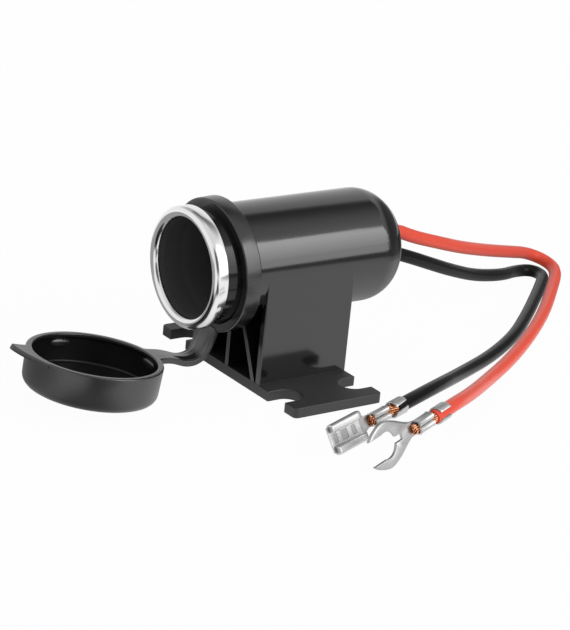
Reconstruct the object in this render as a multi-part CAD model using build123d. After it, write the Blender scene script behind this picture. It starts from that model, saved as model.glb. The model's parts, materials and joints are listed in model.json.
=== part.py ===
"""Car 12 V power socket on a screw-down pedestal, with a rubber dust cap on a strap and two crimped leads.

Millimetres. The origin is the centre of the base plate's underside. +Z is up, the socket axis runs along Y
and its mouth faces -Y.
"""

import os
from math import cos, hypot, radians, sin, tan

from build123d import *

# Socket tube and its domed rear
bore_radius = 10.5
tube_wall = 1.9
axis_height = 25.9
front_overhang = 12.3
rear_overhang = 16.25
dome_radius = 8.2
dome_wall = 2.0

# Base plate with four open slots
base_length = 22.5
base_width = 51.5
base_thickness = 2.25
base_corner_radius = 1.0
base_edge_radius = 0.3
slot_width = 6.0
slot_depth = 5.9
slot_spacing = 37.7

# Pedestal between the base plate and the tube
pedestal_inset = 0.03
pedestal_wall = 1.4
pedestal_back_wall = 1.6
pedestal_edge_radius = 0.3
web_thickness = 1.2
web_head_offset = 4.9
web_foot_offset = 9.9

# Bright rim on the tube's front end
rim_skirt = 0.6
rim_skirt_length = 2.0
rim_lip = 0.5
rim_lip_length = 1.6

# Rubber retaining ring, strap and dust cap
ring_setback = 5.05
ring_width = 4.4
ring_wall = 1.9
ring_edge_radius = 0.3
cap_clearance = 0.55
cap_drop = 0.35
cap_ring_gap = 0.35
cap_wall = 0.8
cap_depth = 6.45
cap_floor = 1.4
cap_corner_radius = 2.2
cap_inner_radius_blend = 0.8
cap_open_angle = 82.7
hinge_setback = 1.05
hinge_below_rim = 9.8
tab_thickness = 1.1
tab_reach = 2.3
tab_long_half = 5.9
tab_short_half = 4.2
tongue_length = 1.6
strap_width = 5.6
strap_thickness = 1.3
strap_fall = 6.0
strap_bend_radius = 3.0
strap_sag_reach = 4.8
strap_sag = 0.5
strap_sweep_radius = 6.0

# Contacts at the bottom of the bore
contact_depth = 32.5
contact_base_thickness = 3.0
contact_boss_radius = 2.6
contact_boss_length = 0.8
inner_bore_step = 0.25
chamber_step = 0.85
positive_head_radius = 3.2
positive_head_height = 1.6
positive_shank_radius = 1.5
positive_tail_radius = 2.1
positive_tail_height = 0.8
lug_thickness = 0.6
lug_radius = 3.3
ground_sheet = 0.5
ground_arm_sheet = 0.4
ground_arm_width = 6.0
ground_arm_length = 18.0
ground_bow = 0.9
ground_strip_width = 8.4
ground_groove_depth = 0.8
barrel_wall = 0.8
barrel_length = 3.0
barrel_gap = 0.3

# Leads and their crimps
wire_radius = 1.35
conductor_radius = 0.8
exit_above = 2.4
exit_below = 3.0
exit_straight = 3.5
sheet = 0.4
crimp_axis = 1.6
conductor_crimp_radius = 1.25
insulation_crimp_radius = 1.75
insulation_crimp_gap = 1.1
crimp_strip_width = 2.0
strand_front = 0.6

# Female blade receptacle
receptacle_width = 6.3
receptacle_length = 8.6
receptacle_curl = 0.95
receptacle_tab_gap = 0.8
receptacle_window = 1.4
receptacle_crimp = (11.4, 16.6)
receptacle_claw = (17.4, 20.6)
receptacle_origin = (43.1, -15.4, 2.83)
receptacle_axis = (-0.197, 0.9695, 0.1455)
receptacle_face = (0.884, 0.111, 0.4545)

# Fork terminal
fork_sheet = 0.7
fork_tip = (-0.5, 2.65)
fork_outer = ((1.85, 4.25), (4.5, 4.97), (8.6, 3.45), (11.6, 1.75))
fork_neck = 1.35
fork_eye = 4.25
fork_eye_radius = 2.8
fork_notch_width = 1.4
fork_notch_depth = 1.8
fork_crimp = (12.8, 18.1)
fork_claw = (19.1, 22.3)
fork_origin = (53.87, -13.4, 4.06)
fork_axis = (-0.227, 0.9533, 0.1992)
fork_face = (0.9483, 0.1698, 0.2681)

# Clearances
seat_clearance = 0.05
wire_clearance = 0.2
crimp_clearance = 0.05

# Places worked out from the sizes above
tube_radius = bore_radius + tube_wall
tube_front = -(base_length / 2 + front_overhang)
tube_rear = base_length / 2 + rear_overhang
inner_bore_radius = bore_radius - inner_bore_step
chamber_radius = inner_bore_radius - chamber_step
rim_radius = tube_radius + rim_skirt
ring_front = tube_front + ring_setback
ring_radius = tube_radius + ring_wall
cap_radius = rim_radius + cap_clearance
cap_outer = cap_radius + cap_wall
cap_mouth = ring_front - cap_ring_gap
hinge_y = tube_front + hinge_setback
hinge_z = axis_height - rim_radius - hinge_below_rim
contact_front = tube_front + contact_depth
contact_rear = contact_front + contact_base_thickness
seat_y = contact_rear + ground_sheet
boss_rear = contact_rear + contact_boss_length
arm_front = contact_rear - ground_arm_length
inner_bore_front = arm_front - seat_clearance
lug_rear = boss_rear + lug_thickness
barrel_front = lug_rear + positive_tail_height + barrel_gap
barrel_rear = barrel_front + barrel_length
barrel_radius = conductor_radius + barrel_wall
exit_red = axis_height + exit_above
exit_black = axis_height - exit_below

receptacle_plane = Plane(origin=receptacle_origin, x_dir=receptacle_axis, z_dir=receptacle_face)
fork_plane = Plane(origin=fork_origin, x_dir=fork_axis, z_dir=fork_face)


def on_axis(shape):
    """Lifts a shape that was turned about Y up to the socket axis."""
    return Pos(0, 0, axis_height) * shape


def along_y(radius, start, end, x=0.0, z=0.0):
    """A cylinder along Y between two stations."""
    return Pos(x, (start + end) / 2, z) * Rot(90, 0, 0) * Cylinder(radius, end - start)


def turned(outline):
    """A solid turned about the socket axis from a closed outline of (radius, y)."""
    return on_axis(revolve(make_face(outline), Axis.Y))


def tube_body():
    """The tube's outside, with its rounded rear."""
    shoulder = tube_radius - dome_radius
    arc_centre = (shoulder, tube_rear - dome_radius)
    outline = Polyline((shoulder, tube_rear), (0, tube_rear), (0, tube_front), (tube_radius, tube_front),
                       (tube_radius, tube_rear - dome_radius))
    return turned(outline + CenterArc(arc_centre, dome_radius, 0, 90))


def tube_hollow():
    """Bore, seat for the contacts, rear chamber and the counterbore for the rim's lip."""
    shoulder = tube_radius - dome_radius
    blend = chamber_radius - shoulder
    chamber_end = tube_rear - dome_wall
    lip_radius = bore_radius + rim_lip + seat_clearance
    lip_end = tube_front + rim_lip_length + seat_clearance
    outline = Polyline((shoulder, chamber_end), (0, chamber_end), (0, tube_front), (lip_radius, tube_front),
                       (lip_radius, lip_end), (bore_radius, lip_end), (bore_radius, inner_bore_front),
                       (inner_bore_radius, inner_bore_front), (inner_bore_radius, seat_y),
                       (chamber_radius, seat_y), (chamber_radius, chamber_end - blend))
    return turned(outline + CenterArc((shoulder, chamber_end - blend), blend, 0, 90))


def ground_grooves():
    """A groove on each side of the bore for the sprung arms."""
    reach = bore_radius + ground_groove_depth
    front = inner_bore_front
    height = max(ground_arm_width, ground_strip_width) + 2 * seat_clearance
    middle = (front + seat_y) / 2
    return Pos(0, middle, axis_height) * Box(2 * reach, seat_y - front, height)


def base_plate():
    """Flat plate with two open slots in its front edge and two in its rear edge."""
    outline = RectangleRounded(base_width, base_length, base_corner_radius)
    for side in (-1, 1):
        for end in (-1, 1):
            round_end = end * (base_length / 2 - slot_depth + slot_width / 2)
            straight = slot_depth - slot_width / 2
            outline -= Pos(side * slot_spacing / 2, round_end) * Circle(slot_width / 2)
            outline -= Pos(side * slot_spacing / 2, round_end + end * straight) * Rectangle(slot_width, 2 * straight)
    plate = extrude(outline, base_thickness)
    return fillet(plate.edges().group_by(Axis.Z)[-1], base_edge_radius)


def pedestal_block():
    """Pedestal's outside: flat walls that run into the tube's widest line almost without a crease."""
    half = tube_radius - pedestal_inset
    foot = base_thickness / 2
    outline = Polyline((-half, foot), (half, foot), (half, axis_height), (-half, axis_height), close=True)
    block = extrude(Plane.XZ * make_face(outline), base_length / 2, both=True)
    upright = block.edges().filter_by(Axis.Z)
    return fillet(upright, pedestal_edge_radius)


def pedestal_cavities():
    """Spaces between the walls, the middle web and the two slanted webs, open at the front."""
    inner = tube_radius - pedestal_inset - pedestal_wall
    slope = (web_foot_offset - web_head_offset) / (axis_height - tube_radius - base_thickness)
    slant = web_thickness / 2 * hypot(1, slope)
    top = web_foot_offset - slope * (axis_height - base_thickness)
    middle = web_thickness / 2
    right_outer = Polyline((web_foot_offset + slant, base_thickness), (inner, base_thickness),
                           (inner, axis_height), (top + slant, axis_height), close=True)
    right_inner = Polyline((middle, base_thickness), (web_foot_offset - slant, base_thickness),
                           (top - slant, axis_height), (middle, axis_height), close=True)
    length = base_length - pedestal_back_wall
    spaces = []
    for outline in (right_outer, right_inner):
        space = extrude(Plane.XZ.offset(base_length / 2) * make_face(outline), -length)
        spaces += [space, mirror(space, Plane.YZ)]
    return Compound(spaces) - along_y(tube_radius, tube_front, tube_rear, z=axis_height)


def housing():
    """One moulding: tube, dome, pedestal and base plate."""
    body = base_plate() + (pedestal_block() - pedestal_cavities()) + tube_body()
    body -= tube_hollow()
    body -= ground_grooves()
    for height in (exit_red, exit_black):
        body -= along_y(wire_radius + wire_clearance, tube_rear - dome_wall - 1, tube_rear + 1, z=height)
    return body


def rim_ring():
    """Bright ring with a rolled lip that caps the tube's front end."""
    roll = (rim_radius - bore_radius) / 2
    skirt_inner = tube_radius + seat_clearance
    lip_outer = bore_radius + rim_lip
    skirt_rear = tube_front + rim_skirt_length
    lip_rear = tube_front + rim_lip_length
    outline = Polyline((rim_radius, tube_front), (rim_radius, skirt_rear), (skirt_inner, skirt_rear),
                       (skirt_inner, tube_front), (lip_outer, tube_front), (lip_outer, lip_rear),
                       (bore_radius, lip_rear), (bore_radius, tube_front))
    return turned(outline + CenterArc((bore_radius + roll, tube_front), roll, 180, 180))


def cap_ring():
    """Rubber ring stretched round the tube behind the rim."""
    inner = tube_radius + seat_clearance
    ring = along_y(ring_radius, ring_front, ring_front + ring_width, z=axis_height)
    ring = fillet(ring.edges().filter_by(GeomType.CIRCLE), ring_edge_radius)
    return ring - along_y(inner, ring_front, ring_front + ring_width, z=axis_height)


def swung_open(shape):
    """Turns the closed cap down to its open place."""
    return shape.rotate(Axis((0, hinge_y, hinge_z), (1, 0, 0)), cap_open_angle)


def cap_cup():
    """Cup with its mouth to the rear, as it stands over the rim."""
    floor = cap_mouth - cap_depth
    cup = along_y(cap_outer, floor - cap_floor, cap_mouth)
    cup = fillet(cup.edges().group_by(Axis.Y)[0], cap_corner_radius)
    hollow = along_y(cap_radius, floor, cap_mouth)
    hollow = fillet(hollow.edges().group_by(Axis.Y)[0], cap_inner_radius_blend)
    return cup, hollow


def dust_cap():
    """Cup, pull tab and the tongue that the strap runs into, swung to the open pose."""
    cup, hollow = cap_cup()
    tab = Polyline((-tab_long_half, cap_outer + tab_reach), (tab_short_half, cap_outer - 0.5),
                   (tab_short_half, cap_radius - tab_reach), (-tab_long_half, cap_radius - tab_reach), close=True)
    tab_solid = extrude(Plane.XZ.offset(-cap_mouth) * make_face(tab), tab_thickness)
    tongue_end = cap_outer + tongue_length
    tongue_root = cap_radius - tongue_length
    tongue = Pos(0, cap_mouth - strap_thickness / 2, -(tongue_end + tongue_root) / 2) * Box(
        strap_width, strap_thickness, tongue_end - tongue_root)
    closed = cup + tab_solid + tongue - hollow
    return swung_open(Pos(0, 0, axis_height - cap_drop) * closed)


def opened_point(radius, behind_mouth):
    """A point on the cap below its axis, moved to the open pose, as (y, z)."""
    y = cap_mouth - behind_mouth - hinge_y
    z = axis_height - cap_drop - radius - hinge_z
    turn = radians(cap_open_angle)
    return hinge_y + y * cos(turn) - z * sin(turn), hinge_z + y * sin(turn) + z * cos(turn)


def cap_strap():
    """Flexible strap from under the ring down and forward to the cap's tongue."""
    leg_y = ring_front + strap_thickness / 2
    top = axis_height - ring_radius
    low = top - strap_fall
    end = opened_point(cap_outer + tongue_length, strap_thickness / 2)
    before_end = opened_point(cap_outer + 2.5 * tongue_length, strap_thickness / 2)
    route = [(0, leg_y, top + strap_thickness), (0, leg_y, low), (0, leg_y - strap_sag_reach, low - strap_sag),
             (0, *before_end), (0, *end)]
    path = FilletPolyline(*route, radius=[strap_bend_radius, strap_sweep_radius, tongue_length])
    section = Plane(origin=path @ 0, x_dir=(1, 0, 0), z_dir=path % 0) * Rectangle(strap_width, strap_thickness)
    strap = sweep(section, path)
    return strap - along_y(ring_radius, ring_front - 1, ring_front + ring_width + 1, z=axis_height)


def contact_base():
    """Insulating disc with a rear boss round the rivet."""
    disc = along_y(inner_bore_radius - seat_clearance, contact_front, contact_rear)
    boss = along_y(contact_boss_radius, contact_rear, boss_rear)
    hole = along_y(positive_shank_radius + seat_clearance, contact_front, boss_rear)
    return on_axis(disc + boss - hole)


def positive_contact():
    """Rivet whose domed head is the centre contact."""
    head = along_y(positive_head_radius, contact_front - positive_head_height, contact_front)
    head = fillet(head.edges().group_by(Axis.Y)[0], positive_head_height * 0.6)
    shank = along_y(positive_shank_radius, contact_front, lug_rear)
    tail = along_y(positive_tail_radius, lug_rear, lug_rear + positive_tail_height)
    tail = fillet(tail.edges().group_by(Axis.Y)[-1], positive_tail_height * 0.6)
    return on_axis(head + shank + tail)


def barrel(height, side, plate_face):
    """Crimp barrel for a lead's inner end, with the strip that carries it from a plate."""
    tube = along_y(barrel_radius, barrel_front, barrel_rear, z=side * height)
    outer = height + barrel_radius
    strip_length = barrel_front + barrel_radius - plate_face
    strip = Pos(0, plate_face + strip_length / 2, side * (outer - lug_thickness / 2)) * Box(
        barrel_radius, strip_length, lug_thickness)
    return tube + strip


def barrel_bore(height, side):
    """Hole for the conductor in a barrel."""
    return along_y(conductor_radius + crimp_clearance, barrel_front - 1, barrel_rear + 1, z=side * height)


def positive_lug():
    """Ring tag under the rivet's tail, with a barrel for the red lead."""
    offset = exit_above
    ring = along_y(lug_radius, boss_rear, lug_rear)
    height = offset + barrel_radius
    arm = Pos(0, boss_rear + lug_thickness / 2, height / 2) * Box(barrel_radius, lug_thickness, height)
    lug = ring + arm + barrel(offset, 1, boss_rear)
    lug -= barrel_bore(offset, 1)
    return on_axis(lug - along_y(positive_shank_radius + seat_clearance, boss_rear, lug_rear))


def ground_contact():
    """Sprung strip: cross plate behind the disc, an arm along each side of the bore, a barrel for the black lead."""
    offset = exit_below
    outer = bore_radius + ground_groove_depth - 2 * seat_clearance
    middle = contact_rear + ground_sheet / 2
    plate = Pos(0, middle, 0) * Box(2 * outer, ground_sheet, ground_strip_width)
    plate -= along_y(contact_boss_radius + lug_thickness, contact_rear - 1, seat_y + 1)
    front = arm_front
    inner = outer - ground_arm_sheet
    bow_y = (front + contact_front) / 2
    outline = (ThreePointArc((inner, front), (inner - ground_bow, bow_y), (inner, contact_front))
               + Polyline((inner, contact_front), (inner, contact_rear), (outer, contact_rear), (outer, contact_front))
               + ThreePointArc((outer, contact_front), (outer - ground_bow, bow_y), (outer, front))
               + Line((outer, front), (inner, front)))
    arm = extrude(make_face(outline), ground_arm_width / 2, both=True)
    tail_height = offset + barrel_radius
    tail = Pos(0, middle, -tail_height / 2 - contact_boss_radius / 2) * Box(
        barrel_radius, ground_sheet, tail_height - contact_boss_radius)
    contact = plate + arm + mirror(arm, Plane.YZ) + tail + barrel(offset, -1, contact_rear)
    return on_axis(contact - barrel_bore(offset, -1))


def crimps(conductor, claw, strip_start):
    """Conductor crimp, insulation claws and the strip that joins them, along +X with the sheet on z = 0."""
    strip = Pos((strip_start + claw[1]) / 2, 0, sheet / 2) * Box(claw[1] - strip_start, crimp_strip_width, sheet)
    fold = conductor_crimp_radius * 0.55
    barrel_section = Pos(0, crimp_axis) * Circle(conductor_crimp_radius)
    barrel_section -= Pos(0, crimp_axis + conductor_crimp_radius) * Rectangle(
        2 * conductor_crimp_radius, conductor_crimp_radius)
    for side in (-1, 1):
        barrel_section += Pos(side * fold, crimp_axis + conductor_crimp_radius / 4) * Circle(fold)
    barrel_section -= Pos(0, crimp_axis) * Circle(conductor_radius + crimp_clearance)
    claw_section = Pos(0, crimp_axis) * (Circle(insulation_crimp_radius) - Circle(wire_radius + crimp_clearance))
    claw_section -= Pos(0, crimp_axis + insulation_crimp_radius) * Rectangle(
        insulation_crimp_gap, 2 * insulation_crimp_radius)
    across = Plane(origin=(0, 0, 0), x_dir=(0, 1, 0), z_dir=(1, 0, 0))
    barrel_solid = extrude(across.offset(conductor[0]) * barrel_section, conductor[1] - conductor[0])
    claw_solid = extrude(across.offset(claw[0]) * claw_section, claw[1] - claw[0])
    return strip + barrel_solid + claw_solid


def crimped(sheet_part, conductor, claw, strip_start):
    """Joins a terminal's flat end to its crimps and clears the lead's own space."""
    part = sheet_part + crimps(conductor, claw, strip_start)
    wire_space = Pos((claw[0] + claw[1]) / 2, 0, crimp_axis) * Rot(0, 90, 0) * Cylinder(
        wire_radius + crimp_clearance, claw[1] - claw[0] + 2 * strand_front)
    copper_space = Pos((conductor[0] + claw[0]) / 2, 0, crimp_axis) * Rot(0, 90, 0) * Cylinder(
        conductor_radius + crimp_clearance, claw[0] - conductor[0] + 2 * strand_front)
    return part - wire_space - copper_space


def receptacle_terminal():
    """Female blade receptacle: flat floor with two curled edges, a neck and the crimps."""
    half = receptacle_width / 2
    curl_centre = half - receptacle_curl
    section = Pos(0, sheet / 2) * Rectangle(2 * curl_centre, sheet)
    for side in (-1, 1):
        curl = Circle(receptacle_curl) - Circle(receptacle_curl - sheet)
        mouth = Pos(-side * receptacle_curl / 2, sheet + receptacle_tab_gap / 2 - receptacle_curl)
        curl -= mouth * Rectangle(receptacle_curl, receptacle_tab_gap)
        section += Pos(side * curl_centre, receptacle_curl) * curl
    across = Plane(origin=(0, 0, 0), x_dir=(0, 1, 0), z_dir=(1, 0, 0))
    body = extrude(across * section, receptacle_length)
    for station in (0.5, 0.8):
        body -= Pos(station * receptacle_length, 0, sheet / 2) * Box(receptacle_window, receptacle_window, 2 * sheet)
    neck_end = receptacle_crimp[0]
    narrow = crimp_strip_width / 2
    waist = (receptacle_length + (neck_end - receptacle_length) * 0.45, (curl_centre + narrow) * 0.42)
    upper = ThreePointArc((receptacle_length, curl_centre), waist, (neck_end, narrow))
    lower = ThreePointArc((receptacle_length, -curl_centre), (waist[0], -waist[1]), (neck_end, -narrow))
    ends = (Line((receptacle_length, -curl_centre), (receptacle_length, curl_centre))
            + Line((neck_end, -narrow), (neck_end, narrow)))
    neck = extrude(make_face(upper + lower + ends), sheet)
    flat = crimped(body + neck, receptacle_crimp, receptacle_claw, receptacle_length)
    return receptacle_plane * flat


def fork_terminal():
    """Fork with two crescent tines, a notched throat and the crimps."""
    shoulder, widest, waist, root = fork_outer
    end = (fork_crimp[0], fork_neck)
    upper = (ThreePointArc(fork_tip, shoulder, widest) + ThreePointArc(widest, waist, root) + Line(root, end))
    lower = mirror(upper, Plane.XZ)
    closing = Line(fork_tip, (fork_tip[0], -fork_tip[1])) + Line(end, (end[0], -end[1]))
    outline = make_face(upper + lower + closing)
    outline -= Pos(fork_eye) * Circle(fork_eye_radius)
    outline -= Pos((fork_tip[0] + fork_eye) / 2) * Rectangle(fork_eye - fork_tip[0], 2 * fork_tip[1])
    notch = fork_eye_radius + fork_notch_depth
    outline -= Pos(fork_eye + notch / 2) * Rectangle(notch, fork_notch_width)
    palm = extrude(outline, fork_sheet)
    return fork_plane * crimped(palm, fork_crimp, fork_claw, root[0])


def conductor(plane, crimp, claw, height):
    """Bare copper at both ends of one lead: through the crimp, and in the barrel behind the contacts."""
    length = claw[0] - crimp[0] + strand_front
    outer = plane * (Pos(crimp[0] - strand_front + length / 2, 0, crimp_axis) * Rot(0, 90, 0)
                     * Cylinder(conductor_radius, length))
    inner = along_y(conductor_radius, barrel_front, barrel_rear, z=height)
    return Compound([outer, inner])


def lead_route(points, plane, claw, height):
    """Route from the contact barrel, out of the dome, over hand-chosen points, to the crimp."""
    end = plane.from_local_coords(Vector(claw[0], 0, crimp_axis))
    before = plane.from_local_coords(Vector(claw[1] + wire_radius, 0, crimp_axis))
    start = [(0, barrel_rear, height), (0, tube_rear + exit_straight, height)]
    return [Vector(p) for p in start + points] + [before, end]


def lead(name, route):
    """Insulated lead: straight runs joined by arcs as large as the runs allow."""
    radii = []
    for a, b, c in zip(route, route[1:], route[2:]):
        turn = radians((b - a).get_angle(c - b))
        radii.append(0.45 * min((b - a).length, (c - b).length) / tan(turn / 2))
    path = FilletPolyline(*route, radius=radii)
    section = Plane(origin=path @ 0, z_dir=path % 0) * Circle(wire_radius)
    tube = sweep(section, path)
    expected = 3.141592653589793 * wire_radius**2 * path.length
    print(name, "length", round(path.length, 1), "volume ratio", round(tube.volume / expected, 4))
    print(name, "bend radii", [round(r, 1) for r in radii])
    return tube


red_points = [
    (-1.5, 41.5, 23), (-7.5, 57, 18), (-16.5, 73.5, 12), (-23.5, 88, 7.8), (-28.5, 97.5, 4.8), (-26, 102, 3.2),
    (-20.5, 101.5, 2), (-11.5, 92.5, 1.4), (-0.5, 80, 1.4), (9.5, 66.5, 1.4), (19, 52, 1.4), (28.5, 37.5, 2.4),
    (41, 21.5, 6.4),
]
black_points = [
    (-1.5, 40.5, 18), (-6.5, 54, 13), (-13.5, 68, 7.8), (-19.5, 82, 3.9), (-26, 92, 2.4), (-24.5, 96, 2),
    (-20, 96.5, 1.7), (-14.5, 91, 1.5), (-8, 83.5, 1.4), (0, 73.5, 1.4), (8, 62, 1.4), (17, 48, 1.4),
    (26.5, 32, 3.2), (36, 17, 6.6),
]


def main():
    parts = {
        "housing": housing(),
        "rim_ring": rim_ring(),
        "cap_ring": cap_ring(),
        "cap_strap": cap_strap(),
        "dust_cap": dust_cap(),
        "contact_base": contact_base(),
        "positive_contact": positive_contact(),
        "positive_lug": positive_lug(),
        "ground_contact": ground_contact(),
        "receptacle_terminal": receptacle_terminal(),
        "fork_terminal": fork_terminal(),
        "red_conductor": conductor(fork_plane, fork_crimp, fork_claw, exit_red),
        "black_conductor": conductor(receptacle_plane, receptacle_crimp, receptacle_claw, exit_black),
        "red_wire": lead("red_wire", lead_route(red_points, fork_plane, fork_claw, exit_red)),
        "black_wire": lead("black_wire", lead_route(black_points, receptacle_plane, receptacle_claw, exit_black)),
    }
    os.makedirs("parts", exist_ok=True)
    for name, part in parts.items():
        export_step(part, f"parts/{name}.step")


main()
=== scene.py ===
"""Looks of a car 12 V power socket: finishes, leads, cap, strap, terminals, strands and the photo stage."""

import json
from math import atan2, cos, hypot, pi, radians, sin, sqrt

import bmesh
import bpy
from bpy.props import FloatProperty, FloatVectorProperty, PointerProperty
from mathutils import Euler, Matrix, Quaternion, Vector

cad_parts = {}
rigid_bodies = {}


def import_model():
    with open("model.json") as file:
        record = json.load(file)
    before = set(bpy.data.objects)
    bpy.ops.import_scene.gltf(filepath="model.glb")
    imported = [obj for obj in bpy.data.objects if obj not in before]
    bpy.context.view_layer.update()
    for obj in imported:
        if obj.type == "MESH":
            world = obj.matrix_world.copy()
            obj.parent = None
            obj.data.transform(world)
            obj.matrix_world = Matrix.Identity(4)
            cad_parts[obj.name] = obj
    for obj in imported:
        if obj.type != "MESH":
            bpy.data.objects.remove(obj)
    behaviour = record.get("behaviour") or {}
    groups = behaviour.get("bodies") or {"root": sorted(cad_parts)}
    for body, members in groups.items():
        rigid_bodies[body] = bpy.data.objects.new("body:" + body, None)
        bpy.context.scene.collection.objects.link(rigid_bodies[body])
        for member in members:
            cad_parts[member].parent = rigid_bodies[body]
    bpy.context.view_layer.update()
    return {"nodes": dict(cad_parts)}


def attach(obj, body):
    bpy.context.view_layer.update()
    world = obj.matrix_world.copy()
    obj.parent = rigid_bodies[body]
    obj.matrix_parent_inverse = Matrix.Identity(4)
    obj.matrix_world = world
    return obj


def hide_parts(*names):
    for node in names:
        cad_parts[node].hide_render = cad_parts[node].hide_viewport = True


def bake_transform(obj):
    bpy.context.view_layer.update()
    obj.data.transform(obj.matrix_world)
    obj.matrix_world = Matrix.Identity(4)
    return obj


bl_info = {
    "name": "Car power socket",
    "version": (1, 0, 0),
    "blender": (4, 5, 0),
    "location": "View3D > Sidebar > Socket",
    "description": "Dresses the packed power socket and sets up its photo stage",
    "category": "Object",
}

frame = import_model()

SOCKET = "socket"
CAP = "cap"
MM = 0.001

# Lead routes in millimetres, from the contacts to the crimps
RED_ROUTE = [
    (0, 17.45, 28.3), (0, 30, 28.3), (-0.7, 36.5, 25.4), (-3, 46, 22.15), (-7.5, 57, 18.1),
    (-16.5, 73.5, 12.3), (-23.5, 88, 7.8), (-28.3, 97.3, 4.85), (-25.8, 101.6, 3.2), (-20.7, 101.2, 2.2),
    (-12.1, 92.1, 1.55), (-0.8, 79.9, 1.55), (9.95, 66.4, 1.55), (20.2, 51.6, 1.55), (29.3, 37.25, 2.4),
    (41.8, 21.2, 6.4), (50.02, 9.42, 9.2), (51.33, 3.93, 8.05),
]
BLACK_ROUTE = [
    (0, 17.45, 22.9), (0, 30, 22.9), (-0.7, 36.5, 20.6), (-3, 45, 17.1), (-6.5, 54, 13.3), (-13.5, 68, 7.7),
    (-19.5, 82, 3.95), (-25.2, 91.4, 1.8), (-24.5, 96, 1.8), (-20.1, 96.5, 1.7), (-15, 91, 1.6),
    (-8.5, 83.6, 1.55), (-0.1, 73.75, 1.55), (9.2, 62, 1.55), (16.95, 48.7, 1.55), (25.7, 32.3, 3.2),
    (35.7, 17.15, 6.6), (40.19, 6.06, 6.75), (40.93, 2.42, 6.2),
]

# The cap's closed mouth, its hinge and the open angle, in millimetres and degrees
CAP_MOUTH = Vector((0, -18.85, 25.55))
CAP_HINGE = Vector((0, -22.5, 3.1))
CAP_OPEN = 82.7
CAP_PLACE = (Matrix.Translation(CAP_HINGE) @ Matrix.Rotation(radians(CAP_OPEN), 4, "X")
             @ Matrix.Translation(CAP_MOUTH - CAP_HINGE))

# The strap's middle line (y, z), half width and rib height, from the ring down and out to the cap
STRAP_LINE = [
    (-16.9, 12.7, 3.6, 0), (-17.3, 11.0, 3.5, 0), (-17.65, 9.3, 3.2, 0.1), (-18.1, 7.7, 2.85, 0.3),
    (-18.95, 6.25, 2.7, 0.45), (-20.25, 5.4, 2.65, 0.5), (-21.9, 5.1, 2.65, 0.5), (-23.6, 5.3, 2.65, 0.45),
    (-25.2, 5.95, 2.65, 0.25), (-26.7, 6.5, 2.7, 0), (-28.1, 6.8, 2.8, 0), (-29.4, 6.98, 3.0, 0),
    (-30.5, 7.15, 3.5, 0),
]

# The rubber ring leans with the strap's pull, its top forward
RING_FRONT, RING_REAR, RING_LEAN, RING_SAG = -18.05, -14.25, 0.05, 0.08

# The tube's front end and the height of its axis
TUBE_FRONT, AXIS_HEIGHT = -23.55, 25.9

# Terminal frames: the tip, the direction to the wire and the face's normal. Then the wire's axis over the
# floor, and the receptacle's curled sides.
RECEPTACLE_FRAME = ((43.1, -15.4, 2.83), (-0.197, 0.9695, 0.1455), (0.884, 0.111, 0.4545))
FORK_FRAME = ((53.87, -13.4, 4.06), (-0.227, 0.9533, 0.1992), (0.9483, 0.1698, 0.2681))
WIRE_HEIGHT = 1.6
CURL_HEIGHT, CURL_WIDTH = 1.85, 1.65

# Crimps of each terminal, in millimetres and degrees. Barrel: start, end, half width, top.
# Strip: start, end, half width. Claws: start, end, radius, reach, slant of each tip, twist.
RECEPTACLE_CRIMPS = ((11.6, 15.9, 1.4, 2.25), (15.6, 17.8, 0.8), (16.9, 20.2, 1.84, 160, (0.1, 0.3), -0.3))
FORK_CRIMPS = ((12.8, 17.2, 1.45, 2.35), (16.8, 19, 0.8), (18.3, 21.4, 1.84, 152, (0.25, 0.7), 0.0))

# Spread of the strands along each terminal and at the contacts: station, then width, height and rise of
# the bundle
RED_SPREAD = [
    (11.6, (1.05, 1.05, 1.3)), (12.7, (1.15, 1.05, 1.25)), (13.5, (0.8, 0.55, 0.95)),
    (16.8, (0.8, 0.55, 0.95)), (17.5, (1.1, 1.1, 1.5)), (19, (1.1, 1.1, 1.6)),
]
BLACK_SPREAD = [
    (11.1, (1.2, 0.9, 1.15)), (11.6, (1.15, 0.95, 1.15)), (12.4, (0.8, 0.55, 0.95)),
    (15.4, (0.8, 0.55, 0.95)), (16.1, (1.15, 1.1, 1.5)), (18.6, (1.15, 1.15, 1.6)),
]
STUB_SPREAD = [(0, (0.75, 0.75, 0)), (3, (0.75, 0.75, 0))]
STUB_FRONT = 14.45

# Zones of the housing's finish, in metres: the bore, the base plate's top and the neck before the ring
# The bore's lighter grey is painted light that evens out the shade inside the tube.
BORE_RADIUS, BORE_REAR = 0.01065, 0.022
PLATE_TOP = (0.0023, 0.0027)
# The neck's dimmer reflection is painted shade between the rim and the ring.
NECK = (-0.0185, -0.0175)

# Strip lights from the lowest up, in watts and metres: the power of each and the part cut off one end.
# The low strip: place, aim, size and power.
STRIPS = ((0.31, 0.03), (0.38, 0), (0.45, 0), (0.51, 0.01), (0.555, 0.035), (0.59, 0.09))
STRIP_FACING, STRIP_ALONG = Vector((0.866, 0.5, 0)), Vector((-0.5, 0.866, 0))
STRIP_DISTANCE, STRIP_WIDTH, STRIP_STEP, STRIP_LOWEST = 0.7, 0.566, 0.09, 0.225
LOW_STRIP = ((0.626, 0.312, 0.1), (0, 0, 0.1), (0.468, 0.16), 0.33)

# Dark zones in reflections: a band and a spot of painted shadow on the floor, the camera's aisle and a patch
# overhead
SHADED_SIDE = -0.055
SHADED_SPOT = (0.0202, -0.0598, 0)
AISLE_MIDDLE = -0.0105
OVERHEAD = (-0.61, 0.05, 0.79)


def length_setting(name, description, size):
    """A length that a user may change, given in millimetres."""
    return FloatProperty(name=name, description=description, default=size * MM, unit="LENGTH")


def angle_setting(name, description, degrees):
    """An angle that a user may change, given in degrees."""
    return FloatProperty(name=name, description=description, default=radians(degrees), subtype="ANGLE")


def colour_setting(name, description, shade):
    """A colour that a user may change."""
    return FloatVectorProperty(name=name, description=description, default=shade, size=3, subtype="COLOR")


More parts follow.
